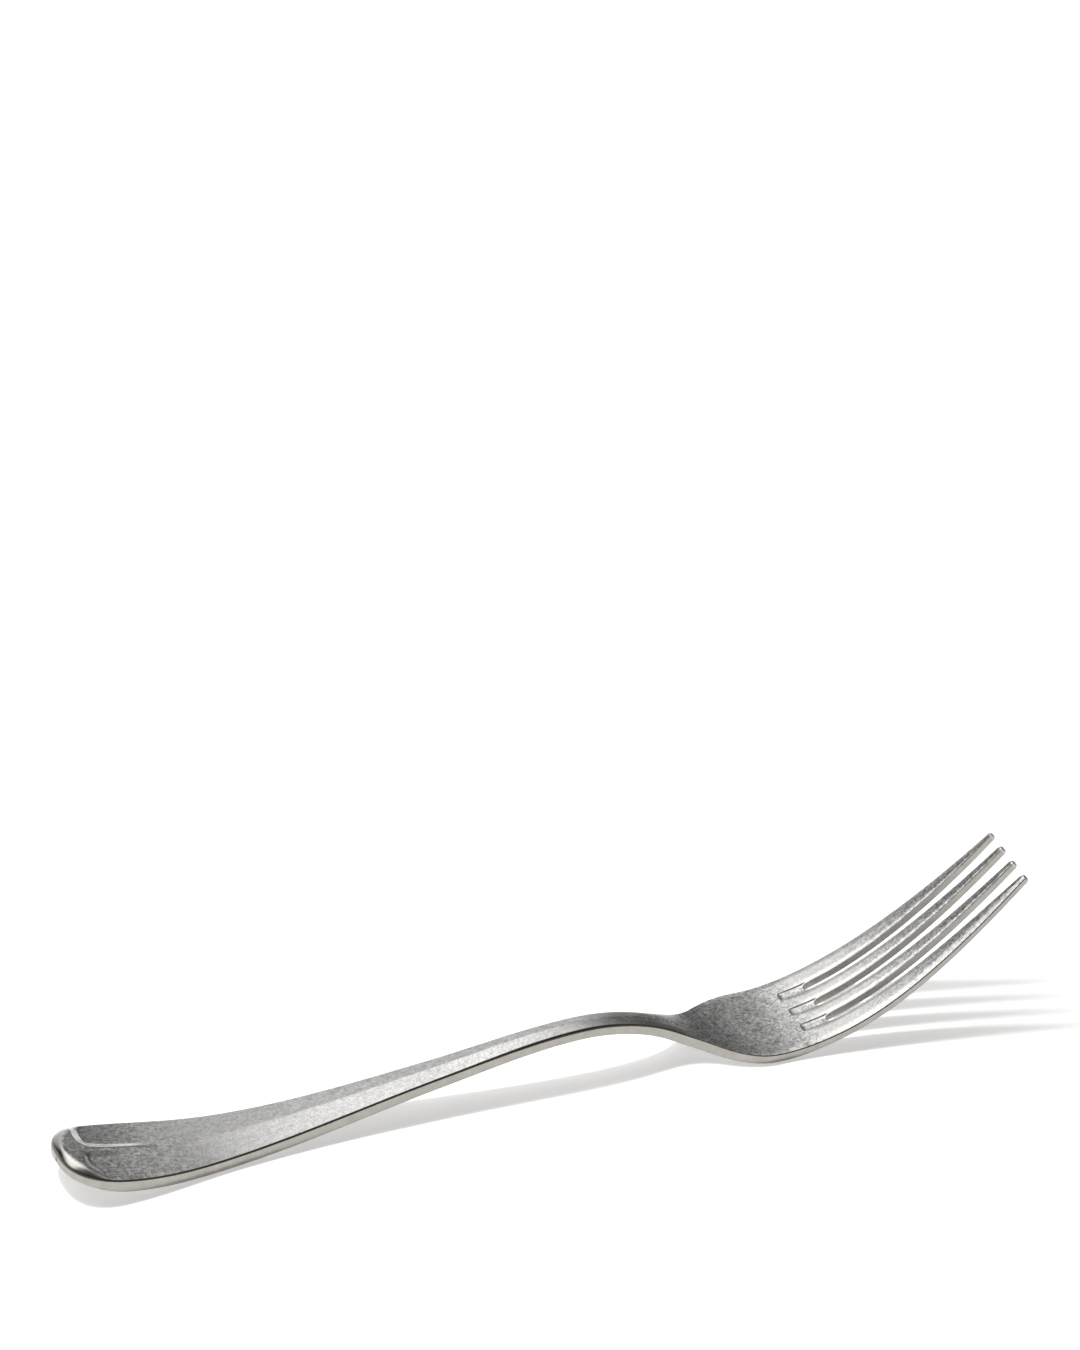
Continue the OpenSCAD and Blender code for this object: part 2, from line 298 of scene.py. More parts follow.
def edge_tilt(x, inset):
    """Angle by which the rounded outer edge leans from the top face towards its wall."""
    stop = math.sin(ROUND_STOP)
    trim = TRIM_ROUND * (1 - stop)
    on_round = share(stop - (inset - trim) / edge_round(x))
    on_trim = share(1 - inset / TRIM_ROUND)
    return np.arcsin(np.where(inset > trim, on_round, np.maximum(on_trim, stop)))


def edge_drop(x, tilt):
    stop = math.cos(ROUND_STOP)
    on_round = edge_round(x) * (1 - np.maximum(np.cos(tilt), stop))
    return on_round + TRIM_ROUND * np.maximum(0, stop - np.cos(tilt))


def inset_at(x, tilt):
    """Distance in from the outer edge at which its rounding has a tilt."""
    stop = math.sin(ROUND_STOP)
    on_round = TRIM_ROUND * (1 - stop) + edge_round(x) * (stop - np.sin(tilt))
    return np.where(tilt < ROUND_STOP, on_round, TRIM_ROUND * (1 - np.sin(tilt)))


def roof(u):
    """Height share of the crease, which falls straight from a softened top to the edge."""
    top = math.hypot(1, CREASE_SOFT)
    return (top - np.hypot(share(u), CREASE_SOFT)) / (top - CREASE_SOFT)


def shoulder(y):
    """Width of the pad's rounded shoulder: narrow at the nose and broad along the sides."""
    return blend(NOSE_SHOULDER, SIDE_SHOULDER, ease(np.abs(y) / SHOULDER_TURN))


def full_top(x, y):
    """Height of the full width's top above the line of its edge, without the edge rounding."""
    u = np.abs(y) / np.maximum(half_width(x), 1e-3)
    inset = edge_inset(x, y)[0]
    dome = 1 - (1 - share(inset / shoulder(y))) ** SHOULDER_SWELL
    far_side = ease(y / STEP_TURN + 0.5)
    near_len = blend(STEEP_STEP_LEN, NEAR_STEP_LEN, ease((u - NEAR_SPREAD_FROM) / NEAR_SPREAD_OVER))
    far_fade = ease((u - FAR_FADE_FROM) / (1 - FAR_FADE_FROM))
    far_len = FAR_STEP_LEN * (1 + FAR_STEP_FADE * far_fade)
    step_len = blend(near_len, far_len, far_side)
    step_middle = X_PAD + STEP_BOW * (2 * u - 1) ** 2 + FAR_STEP_SHIFT * far_side
    past_step = ramp((x - step_middle) / step_len + 0.5, STEP_TOP_SOFT, STEP_FOOT_SOFT)
    along_ridge = share((x - X_PAD) / RIDGE_LEN)
    ridge_half_w = RIDGE_HALF_W * blend(1, RIDGE_TAPER, along_ridge)
    ridge_half_w = ridge_half_w + RIDGE_FLARE * (y > 0) * (1 - share((x - X_PAD) / RIDGE_FLARE_LEN)) ** 2
    off_ridge = ramp(np.abs(y) / ridge_half_w, RIDGE_SOFT, RIDGE_SOFT)
    past_ridge = blend(along_ridge, 1, off_ridge)
    scoop = SCOOP_RISE * (1 - share((x - X_PAD) / SCOOP_LEN)) ** 2
    pad = PAD_RISE - PAD_SAG * share((x - X_END) / (X_PAD - X_END)) ** 2
    relief = dome * blend(pad, scoop, past_step * past_ridge)
    return crease(x) * roof(u) + neck_crown(x) * (1 - u**NECK_FULLNESS) + relief


def along_tine(x):
    """Share of the way from the root of the tines to their tips."""
    return share((x - X_ROOT) / (X_TIP - X_ROOT))


def pressed(x, depth_in):
    """Drop of a groove or a slot's edge at a distance in from its lip, which is rolled over."""
    size = blend(1, TIP_W / INNER_ROOT_W, along_tine(x)) * ease((x - X_GROOVE) / (X_ROOT - X_GROOVE))
    roll = (1 - share(-depth_in / (LIP_REACH * np.maximum(size, LEAST_LIP_SIZE)))) ** 2
    hollow = 1 - (1 - share(depth_in / GROOVE_RUN)) ** GROOVE_SWELL
    depth = GROOVE_DEPTH * (1 - ease((x - X_ROOT) / GROOVE_FADE))
    return LIP_ROLL * size * roll + depth * hollow


def outer_roll(x, y):
    """Drop of the palm and the tines towards their outer edges."""
    near_edge = 1 - share(edge_inset(x, y)[0] / OUTER_REACH)
    return OUTER_ROLL * near_edge**2 * ease((x - at(FLARE_AT)) / (at(HEEL_AT) - at(FLARE_AT)))


def crown(x):
    """Rise of the middle of each tine, which starts on the palm and runs out to the tip."""
    return CROWN * ease((x - at(HEEL_AT)) / (X_ROOT - at(HEEL_AT))) * (1 - along_tine(x))


def groove_depth_in(x, y):
    """Distance in from the lip of the nearest groove, below zero outside it."""
    reach = SLOT_W / 2 + SLOT_CUT
    off_centre = np.min([np.abs(y - s * SLOT_PITCH) for s in (-1, 0, 1)], axis=0)
    in_end = GROOVE_CORNER - (x - X_GROOVE)
    in_side = off_centre - (reach - GROOVE_CORNER)
    outside = np.hypot(np.maximum(in_end, 0), np.maximum(in_side, 0))
    return GROOVE_CORNER - outside - np.minimum(np.maximum(in_end, in_side), 0)


def palm_top(x, y):
    """The full width's top, pressed down in a groove behind each slot."""
    return full_top(x, y) + crown(x) - pressed(x, groove_depth_in(x, y)) - outer_roll(x, y)


def stand(x, y, rise):
    """Points at a rise above the edge line, square to the side profile, kept above the table."""
    slope = edge_height.slope(x)
    size = np.hypot(1, slope)
    z = np.maximum(0, edge_height(x) + rise / size)
    return np.stack(np.broadcast_arrays(x - rise * slope / size, y, z), axis=-1)


def unit(v):
    """Vectors brought to length 1."""
    return v / np.maximum(np.linalg.norm(v, axis=-1, keepdims=True), 1e-12)


def axes(x):
    """Directions along the fork and up from it at x."""
    slope = edge_height.slope(x)
    none = np.zeros_like(slope)
    along = np.stack([np.ones_like(slope), none, slope], axis=-1)
    up = np.stack([-slope, none, np.ones_like(slope)], axis=-1)
    return unit(along), unit(up)


def top_normals(x, y, top):
    """Directions square to a top face."""
    nudge = 0.002
    ahead = stand(x + nudge, y, top(x + nudge, y)) - stand(x - nudge, y, top(x - nudge, y))
    aside = stand(x, y + nudge, top(x, y + nudge)) - stand(x, y - nudge, top(x, y - nudge))
    return unit(np.cross(ahead, aside))


# Painted light and shade on the finish, the finish's share of tumbled grain, and where each of them changes
# Painted shade: a dark line on the rounded edges in place of their dark reflection, with the leans where it
# starts, fades in and ends
EDGE_LINE_PAINTED_SHADE = 0.38
PAD_LINE_LEAN, LINE_LEAN, LINE_FADE = math.radians(38), math.radians(24), math.radians(15)
LINE_END_TILT = math.radians(72)
# Pad and step: painted shade on the pad and its rim, painted light on the step, and on the hollow past it
# painted shade on the far half and painted light on the near half
PAD_WASH, PAD_PAINTED_SHADE = 0.95, 0.9
STEP_WASH, STEP_PAINTED_LIGHT = 0.2, 1.2
RIM_WASH, RIM_PAINTED_SHADE = 0.4, 0.95
MIDDLE_WASH, NECK_WASH = 0.45, 0.1
FAR_HOLLOW_PAINTED_SHADE, NEAR_HOLLOW_PAINTED_LIGHT, HOLLOW_LEN = 0.76, 1.2, 12.0
# Painted shade darkening the end of the neck and the palm
NECK_END_PAINTED_SHADE, PALM_PAINTED_SHADE = 0.78, 0.76
# Slant and length of the painted shade at the end of the neck
PAINTED_SHADE_SLANT, PAINTED_SHADE_FADE = 0.7, 5.0
# Painted light on the far side of the neck
NECK_SIDE_SHARE, NECK_SIDE_PAINTED_LIGHT = 0.45, 1.25
# Less grain, and painted light at the roots of the tines, lighter than the palm
ROOT_WASH, ROOT_PAINTED_LIGHT = 0.25, 0.94
# Full grain in the grooves, and painted shade darkening them
GROOVE_WASH, GROOVE_PAINTED_SHADE = 1.0, 0.85
# More grain again, and painted shade on the tips
TIP_WASH, TIP_PAINTED_SHADE = 0.7, 0.8
# Painted shade on the cut slot walls between the tines
SLOT_ROOT_PAINTED_SHADE, SLOT_PAINTED_SHADE = 0.95, 0.72
FLAT_LEAN, FLAT_FADE = math.radians(14), math.radians(22)
STEEP_FROM, STEEP_OVER = 0.12, 0.2
HOLLOW_SPLIT = 1.0
PALM_LIGHT_LEN, ROOT_LEAD = 4.0, 1.0
TIP_FADE = 0.7
SLOT_DARK_SHARE, SLOT_LIGHT_FROM, SLOT_LIGHT_OVER = 0.25, 0.4, 0.5
WASH_END_TILT = math.radians(40)

# Direction across the fork, lines across the underside, and tilts of the lines on rounded edges
SIDEWAYS = np.array([0.0, 1.0, 0.0])
UNDER_LINES = np.linspace(0, 1, 9)[1:-1]
DOWN_TILTS = np.radians([90, 70, 50, 30, 12, 0])
EDGE_TILTS = np.radians([90, 83, 76, 69, 67, 60, 52, 44, 36, 28, 20, 13, 6, 0])
UNDER_WASH = ease(1 - DOWN_TILTS / WASH_END_TILT)


class Skin:
    """Rings of points with their surface directions, their share of tumbled finish and their painted light
    and shade.
    """

    def __init__(self, points, normals, wash, tone):
        self.points = points
        self.normals = unit(normals)
        self.wash = wash
        self.tone = tone

    def mirrored(self):
        flip = np.array([1.0, -1.0, 1.0])
        sides = self.wash[:, ::-1], self.tone[:, ::-1]
        return Skin(self.points[:, ::-1] * flip, self.normals[:, ::-1] * flip, *sides)


def wall_directions(x, along_share, across_share):
    along, _ = axes(x)
    return along * along_share[..., None] + SIDEWAYS * across_share[..., None]


def under_edge(x, wall_y, out_along, out_across, wall_out):
    """Leaning wall and rounded lower edge below one side: points and directions down to the underside."""
    t = thickness(x)
    _, up = axes(x)
    inward = WALL_LEAN * t + UNDER_ROUND * (1 - np.sin(DOWN_TILTS))
    rise = -t + UNDER_ROUND * (1 - np.cos(DOWN_TILTS))
    points = stand(x - inward * out_along, wall_y - inward * out_across, rise)
    lean = np.minimum(DOWN_TILTS, math.pi / 2 - math.atan(WALL_LEAN))[:, None]
    normals = np.sin(lean) * wall_out - np.cos(lean) * up
    return points, normals


def leaning(x, normals):
    """Angle between a surface's direction and the way up from the fork."""
    _, up = axes(x)
    return np.arccos(np.clip(np.sum(unit(normals) * up, axis=-1), -1, 1))


def flatness(x, normals):
    """Share of the tumbled finish: whole on the faces, none where a surface leans towards a wall."""
    return 1 - ease((leaning(x, normals) - FLAT_LEAN) / FLAT_FADE)


def pad_rim(x, y):
    """Share of the pad's rounded shoulder, which ends at the step."""
    return (edge_inset(x, y)[0] < shoulder(y)) * ease((X_PAD - x) / STEEP_STEP_LEN + 1)


def painted_edge_line(x, y, normals, tilt):
    """Painted shade: a dark line along the rounded outer edges, down to the trimmed wall, in place of the
    dark reflection on their steep part.
    """
    line_start = blend(PAD_LINE_LEAN, LINE_LEAN, ease((x - X_PAD) / STEEP_STEP_LEN))
    steep = ease((leaning(x, normals) - line_start) / LINE_FADE)
    on_edge = np.maximum(tilt > 0, pad_rim(x, y))
    return blend(1, EDGE_LINE_PAINTED_SHADE, steep * on_edge * (tilt < LINE_END_TILT))


def full_width_skin(places, inner_lines, top, finish):
    """Rings over the full width. Inner lines are shares of the width between the rounded edges."""
    x = np.asarray(places, float)[:, None]
    w = half_width(x)
    _, along_w, across_w = edge_inset(x, w * JUST_INSIDE)
    inset = inset_at(x, EDGE_TILTS) / np.maximum(across_w, 1e-3)
    span = np.minimum(1, EDGE_SHARE * w / inset[:, -1:])
    edge_y = w - inset * span
    inner_y = edge_y[:, -1:] * np.asarray(inner_lines)
    y = np.hstack([-edge_y, inner_y, edge_y[:, ::-1]])
    inset_here, along_share, across_share = edge_inset(x, y)
    tilt = edge_tilt(x, np.maximum(inset_here, 0))
    tilt[:, 0] = tilt[:, -1] = math.pi / 2
    points = stand(x, y, top(x, y) - edge_drop(x, tilt))
    wall_out = unit(wall_directions(x, along_share, across_share))
    lean = tilt[..., None]
    normals = np.cos(lean) * top_normals(x, y, top) + np.sin(lean) * wall_out
    # The share of tumbled grain, and the painted light and shade, at each point
    wash, tone = finish(x, y)
    flat = flatness(x, normals)
    low_left, low_left_out = under_edge(x, -w, along_w, -across_w, wall_out[:, :1])
    low_right, low_right_out = under_edge(x, w, along_w, across_w, wall_out[:, -1:])
    under = blend(low_right[:, -1:], low_left[:, -1:], UNDER_LINES[:, None])
    _, up = axes(x)
    under_out = np.broadcast_to(-up, under.shape)
    low_wash = np.broadcast_to(UNDER_WASH, low_right.shape[:2])
    return Skin(
        np.hstack([points, low_right, under, low_left[:, ::-1]]),
        np.hstack([normals, low_right_out, under_out, low_left_out[:, ::-1]]),
        np.hstack([wash * flat, low_wash, np.ones(under.shape[:2]), low_wash[:, ::-1]]),
        np.hstack([
            blend(1, tone, flat) * painted_edge_line(x, y, normals, tilt),
            np.ones((len(x), len(DOWN_TILTS) * 2 + len(UNDER_LINES))),
        ]),
    )


def handle_finish_and_shading(x, y):
    """Pad with worn slopes around it. Painted shade darkens the pad, its rim and the far half of the hollow
    past it, and painted light brightens the step and the hollow's near half.
    """
    nudge = 0.02
    ahead = full_top(x + nudge, y) - full_top(x - nudge, y)
    aside = full_top(x, y + nudge) - full_top(x, y - nudge)
    on_rim = pad_rim(x, y)
    fall = blend(-np.minimum(ahead, aside), np.hypot(ahead, aside), on_rim) / (2 * nudge)
    steep = ease((fall - STEEP_FROM) / STEEP_OVER)
    past_pad = ease((x - X_PAD) / RIDGE_LEN)
    to_middle = ease((x - at(WIDE_AT)) / (at(TAPER_AT) - at(WIDE_AT)))
    wash = blend(blend(PAD_WASH, MIDDLE_WASH, to_middle), blend(STEP_WASH, RIM_WASH, on_rim), steep)
    near_painted_light = blend(NEAR_HOLLOW_PAINTED_LIGHT, 1, to_middle)
    far_painted_shade = blend(FAR_HOLLOW_PAINTED_SHADE, 1, ease((x - X_HANDLE) / HOLLOW_LEN))
    hollow_painted_shading = blend(near_painted_light, far_painted_shade, ease(y / HOLLOW_SPLIT + 0.5))
    off_pad = ease((x - X_PAD) / STEEP_STEP_LEN)
    flat_painted_shading = blend(PAD_PAINTED_SHADE, blend(PAD_PAINTED_SHADE, 1, past_pad) * hollow_painted_shading, off_pad)
    return wash, blend(flat_painted_shading, blend(STEP_PAINTED_LIGHT, RIM_PAINTED_SHADE, on_rim), steep)


def neck_finish_and_shading(x, y):
    """The sides of the neck are smoother than its middle; painted light makes the far side lighter, and
    painted shade darkens its end.
    """
    u = np.abs(y) / half_width(x)
    past_crest = ease((x - at(CREST_AT)) / (at(WAIST_AT) - at(CREST_AT)))
    wash = blend(MIDDLE_WASH, 1, past_crest)
    on_side = ease(u / NECK_SIDE_SHARE) * neck_crown(x) / NECK_RISE
    tone = blend(blend(1, NECK_END_PAINTED_SHADE, past_crest), NECK_SIDE_PAINTED_LIGHT, on_side * (y > 0))
    return blend(wash, NECK_WASH, on_side), tone


def palm_finish_and_shading(x, y):
    """The grain grows smooth from the palm to the roots, and rough again to the tips. Painted shade carries
    the neck's darker end on a slant into the palm and darkens the palm and the tips, and painted light makes
    the roots lighter.
    """
    past_neck = ease((x - at(FLARE_AT) + PAINTED_SHADE_SLANT * y) / PAINTED_SHADE_FADE)
    palm_start = at(FLARE_AT) + PALM_LIGHT_LEN
    on_palm = ease((x - palm_start) / (X_GROOVE - palm_start))
    to_root = ease((x - X_GROOVE + ROOT_LEAD) / (X_ROOT - X_GROOVE + ROOT_LEAD))
    to_tip = ease(along_tine(x) / TIP_FADE)
    wash = blend(blend(1, ROOT_WASH, to_root), TIP_WASH, to_tip)
    neck_wash, neck_painted_shading = neck_finish_and_shading(x, y)
    tone = blend(blend(neck_painted_shading, 1, past_neck), PALM_PAINTED_SHADE, on_palm)
    tone = blend(blend(tone, ROOT_PAINTED_LIGHT, to_root), TIP_PAINTED_SHADE, to_tip)
    wash = wash * neck_wash
    # The grooves take more grain and painted shade
    in_groove = ease(groove_depth_in(x, y) / GROOVE_RUN) * (x < X_ROOT)
    return blend(wash, GROOVE_WASH, in_groove), blend(tone, GROOVE_PAINTED_SHADE, in_groove)


def slot_painted_shade(x):
    """Painted shade on the cut slot walls between the tines: darkest past the roots, and none at the tips,
    where they are as light as the other edges.
    """
    past_root = ease(along_tine(x) / SLOT_DARK_SHARE)
    to_tip = ease((along_tine(x) - SLOT_LIGHT_FROM) / SLOT_LIGHT_OVER)
    return blend(blend(SLOT_ROOT_PAINTED_SHADE, SLOT_PAINTED_SHADE, past_root), 1, to_tip)


# Tines: where their edges run
TINE_MIDDLE = SLOT_PITCH / 2
OUTER_ROOT_W = PALM_HALF_W - SLOT_PITCH - SLOT_W / 2
TIP_PITCH = (2 * TIP_HALF_SPAN - TIP_W) / 3


def tine_width(root_w, x):
    return blend(root_w, TIP_W, along_tine(x) ** 2)


def inner_edge(x, side):
    return blend(TINE_MIDDLE, TIP_PITCH / 2, along_tine(x)) + side * tine_width(INNER_ROOT_W, x) / 2


def inner_low(x):
    return inner_edge(x, -1)


def inner_high(x):
    return inner_edge(x, 1)


def outer_low(x):
    return half_width(x) - tine_width(OUTER_ROOT_W, x)


def slot_wall(x, edge, side):
    """The slot's wall: its rounded bottom opens from the slot's middle to the tine's edge."""
    return edge(x) + side * SLOT_W / 2 * (1 - quarter_round((x - X_ROOT) / ROOT_ROUND))


def tine_top(low, high):
    """Top of a tine whose edge fades into the groove's side. high is None along the outer edge."""

    def top(x, y):
        drop = pressed(x, low(x) + SLOT_CUT - y)
        if high is None:
            return crown(x) - drop - outer_roll(x, y)
        return crown(x) - drop - pressed(x, y - high(x) + SLOT_CUT)

    return top


# Shares of the way over a slot's edge and a tine's top, and turns of the rings around its end
SLOT_LINES = np.linspace(0, 1, 9)
TIP_TURNS = np.radians([15, 30, 45, 60, 75, 90])
TINE_LINES = np.linspace(0, 1, 13)[1:-1]


def slot_side(x, edge, side):
    """Places across from a slot's wall to the tine's flat top, the wall and its outward direction."""
    nudge = 0.0005
    wall = slot_wall(x, edge, side)
    lip = edge(x) - side * SLOT_CUT
    turn = (slot_wall(x + nudge, edge, side) - slot_wall(x - nudge, edge, side)) / (2 * nudge)
    turn = np.clip(turn / np.hypot(1, edge_height.slope(x)), -STEEPEST_TURN, STEEPEST_TURN)
    length = np.hypot(1, turn)
    out = wall_directions(x, -side * turn / length, side / length)
    return wall + (lip - wall) * SLOT_LINES, wall, out


def tine_skin(places, low, high):
    """Rings of a tine between a slot at low and a slot at high, or the outer edge where high is None."""
    x = np.asarray(places, float)[:, None]
    top = tine_top(low, high)
    low_y, low_wall, low_out = slot_side(x, low, -1)
    if high is None:
        w = half_width(x)
        _, _, across_w = edge_inset(x, w * JUST_INSIDE)
        high_y = (w - inset_at(x, EDGE_TILTS) / across_w)[:, ::-1]
        inset_here, along_share, across_share = edge_inset(x, high_y)
        tilt = edge_tilt(x, inset_here)
        tilt[:, -1] = math.pi / 2
        high_out = unit(wall_directions(x, along_share, across_share))
        high_wall = w
    else:
        high_y, high_wall, high_out = slot_side(x, high, 1)
        high_y = high_y[:, ::-1]
        tilt = np.zeros_like(high_y)
        high_out = np.broadcast_to(high_out, high_y.shape + (3,))
    inner_y = blend(low_y[:, -1:], high_y[:, :1], TINE_LINES)
    y = np.hstack([low_y, inner_y, high_y])
    lean = np.hstack([np.zeros_like(low_y), np.zeros_like(inner_y), tilt])
    points = stand(x, y, top(x, y) - edge_drop(x, lean))
    out = np.broadcast_to(high_out[:, -1:], y.shape + (3,)).copy()
    out[:, -high_y.shape[1]:] = high_out
    normals = np.cos(lean[..., None]) * top_normals(x, y, top) + np.sin(lean[..., None]) * out
    wash, tone = palm_finish_and_shading(x, y)
    flat = flatness(x, normals)
    rim_low, rim_high = points[:, :1], points[:, -1:]
    low_down, low_down_out = under_edge(x, low_wall, 0, -1, low_out)
    high_down, high_down_out = under_edge(x, high_wall, 0, 1, high_out[:, -1:])
    under = blend(high_down[:, -1:], low_down[:, -1:], UNDER_LINES[:, None])
    _, up = axes(x)
    under_out = np.broadcast_to(-up, under.shape)
    low_wash = np.broadcast_to(UNDER_WASH, low_down.shape[:2])
    smooth = np.zeros((len(x), 1))
    rings = [points, rim_high, high_down, under, low_down[:, ::-1], rim_low]
    outs = [normals, high_out[:, -1:], high_down_out, under_out, low_down_out[:, ::-1], low_out]
    washes = [wash * flat, smooth, low_wash, np.ones(under.shape[:2]), low_wash[:, ::-1], smooth]
    # Painted shade on the slot walls and their rims, and painted light and shade on the tine's top
    rim_painted_shade = slot_painted_shade(x)
    wall_painted_shade = np.broadcast_to(rim_painted_shade, low_wash.shape)
    top_painted_shading = blend(1, tone, flat) * painted_edge_line(x, y, normals, lean)
    painted_shadings = [top_painted_shading, rim_painted_shade, wall_painted_shade, np.ones(under.shape[:2]), wall_painted_shade, rim_painted_shade]
    if high is None:
        painted_shadings[2] = np.ones(low_wash.shape)
        del rings[1], outs[1], washes[1], painted_shadings[1]
    return Skin(np.hstack(rings), np.hstack(outs), np.hstack(washes), np.hstack(painted_shadings))


def with_tip(skin):
    """Adds rings that draw the end of a tine in with a rounded rim."""
    last = skin.points[-1]
    ahead = axes(np.array([X_TIP]))[0][0]
    middle = (last.min(axis=0) + last.max(axis=0)) / 2
    rows, outs = [], []
    for turn in TIP_TURNS:
        off = last - middle
        reach = np.linalg.norm(off, axis=1, keepdims=True)
        inward = np.minimum(TIP_ROUND * (1 - math.cos(turn)), reach * TIP_DRAW)
        rows.append(last - off / reach * inward + ahead * TIP_ROUND * math.sin(turn))
        outs.append(unit(skin.normals[-1] * math.cos(turn) + ahead * math.sin(turn)))
    ones = np.ones((len(rows), len(last)))
    return Skin(
        np.concatenate([skin.points, rows]),
        np.concatenate([skin.normals, outs]),
        np.concatenate([skin.wash, ones * TIP_WASH]),
        # Painted shade on the rounded tip
        np.concatenate([skin.tone, ones * TIP_PAINTED_SHADE]),
    )


def make_piece(name, skin, material):
    """Closed mesh over the rings of a skin with a flat face at each end, in place of a node."""
    rows, count = skin.points.shape[:2]
    corner = np.arange(rows * count).reshape(rows, count)
    beside = np.roll(corner, -1, axis=1)
    quads = np.stack([corner[:-1], corner[1:], beside[1:], beside[:-1]], axis=-1).reshape(-1, 4)
    ends = [corner[0].tolist(), corner[-1, ::-1].tolist()]
    mesh = bpy.data.meshes.new(name)
    mesh.from_pydata((skin.points.reshape(-1, 3) * MM).tolist(), [], quads.tolist() + ends)
    mesh.polygons.foreach_set("use_smooth", [True] * len(mesh.polygons))
    outs = skin.normals.reshape(-1, 3)
    end_outs = [mesh.polygons[len(quads) + i].normal for i in (0, 1)]
    loop_outs = outs[quads.reshape(-1)].tolist()
    for out in end_outs:
        loop_outs += [tuple(out)] * count
    mesh.normals_split_custom_set(loop_outs)
    # The share of tumbled grain and the painted light and shade go onto the points
    for key, values in (("wash", skin.wash), ("tone", skin.tone)):
        painted = mesh.attributes.new(key, "FLOAT", "POINT")
        painted.data.foreach_set("value", values.reshape(-1).astype(np.float32))
    mesh.materials.append(material)
    piece = bpy.data.objects.new("steel_" + name, mesh)
    bpy.context.scene.collection.objects.link(piece)
    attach(piece, "root")
    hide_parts(name)


def node(tree, kind, **settings):
    made = tree.nodes.new(kind)
    for key, value in settings.items():
        setattr(made, key, value)
    return made


def noise(tree, coords, scale, detail, roughness, distortion=0.0):
    made = node(tree, "ShaderNodeTexNoise")
    made.inputs["Scale"].default_value = scale
    made.inputs["Detail"].default_value = detail
    made.inputs["Roughness"].default_value = roughness
    made.inputs["Distortion"].default_value = distortion
    tree.links.new(coords, made.inputs["Vector"])
    return made.outputs


def remap(tree, value, from_low, from_high, to_low, to_high, smooth=False):
    made = node(tree, "ShaderNodeMapRange", interpolation_type="SMOOTHSTEP" if smooth else "LINEAR")
    keys = ("From Min", "From Max", "To Min", "To Max")
    for key, number in zip(keys, (from_low, from_high, to_low, to_high)):
        made.inputs[key].default_value = number
    tree.links.new(value, made.inputs["Value"])
    return made.outputs["Result"]


def maths(tree, operation, a, b):
    made = node(tree, "ShaderNodeMath", operation=operation)
    for socket, value in zip(made.inputs, (a, b)):
        if isinstance(value, (int, float)):
            socket.default_value = value
        else:
            tree.links.new(value, socket)
    return made.outputs[0]


def mixed(tree, kind, factor, a, b):
    """Mix of two colours or two numbers."""
    made = node(tree, "ShaderNodeMix", data_type=kind)
    sockets = [s for s in made.inputs if s.enabled]
    for socket, value in zip(sockets, (factor, a, b)):
        if isinstance(value, (tuple, float)):
            socket.default_value = value
        else:
            tree.links.new(value, socket)
    return next(s for s in made.outputs if s.enabled)


def vector_maths(tree, operation, a, b=None, scale=None):
    made = node(tree, "ShaderNodeVectorMath", operation=operation)
    for socket, value in zip(made.inputs, (a, b)):
        if isinstance(value, tuple):
            socket.default_value = value
        elif value is not None:
            tree.links.new(value, socket)
    if scale is not None:
        tree.links.new(scale, made.inputs["Scale"])
    return made.outputs["Vector"]


# Colours and grain of the steel
WASH_DARK = (0.26, 0.256, 0.249, 1)
WASH_LIGHT = (0.78, 0.775, 0.765, 1)
# Satin colours of the trimmed edges: their own warm colour, kept darker as painted shade of the shadowed
# table that the walls reflect
EDGE_DARK = (0.335, 0.323, 0.294, 1)
EDGE_LIGHT = (0.41, 0.396, 0.362, 1)
PER_MM = 1000.0
GRAIN_SCALE, GRAIN_DETAIL, GRAIN_SPREAD, GRAIN_DISTORTION = 1.5 * PER_MM, 2.0, 0.6, 1.0
CLOUD_SCALE, CLOUD_DETAIL, CLOUD_SPREAD = 0.5 * PER_MM, 3.0, 0.6
CLOUD_SHARE = 0.15
MOTTLE_LOW, MOTTLE_HIGH = 0.37, 0.63
CLOUD_LOW, CLOUD_HIGH = 0.3, 0.7
ROUGH_LOW, ROUGH_HIGH = 0.7, 1.3
WASH_ROUGH = (0.16, 0.26)
SATIN_ROUGH = (0.2, 0.28)
GREY_FROM = 0.3
MIDDLE_GREY = 0.5
GRAIN_TILT = 0.08
SATIN_TILT = 0.04


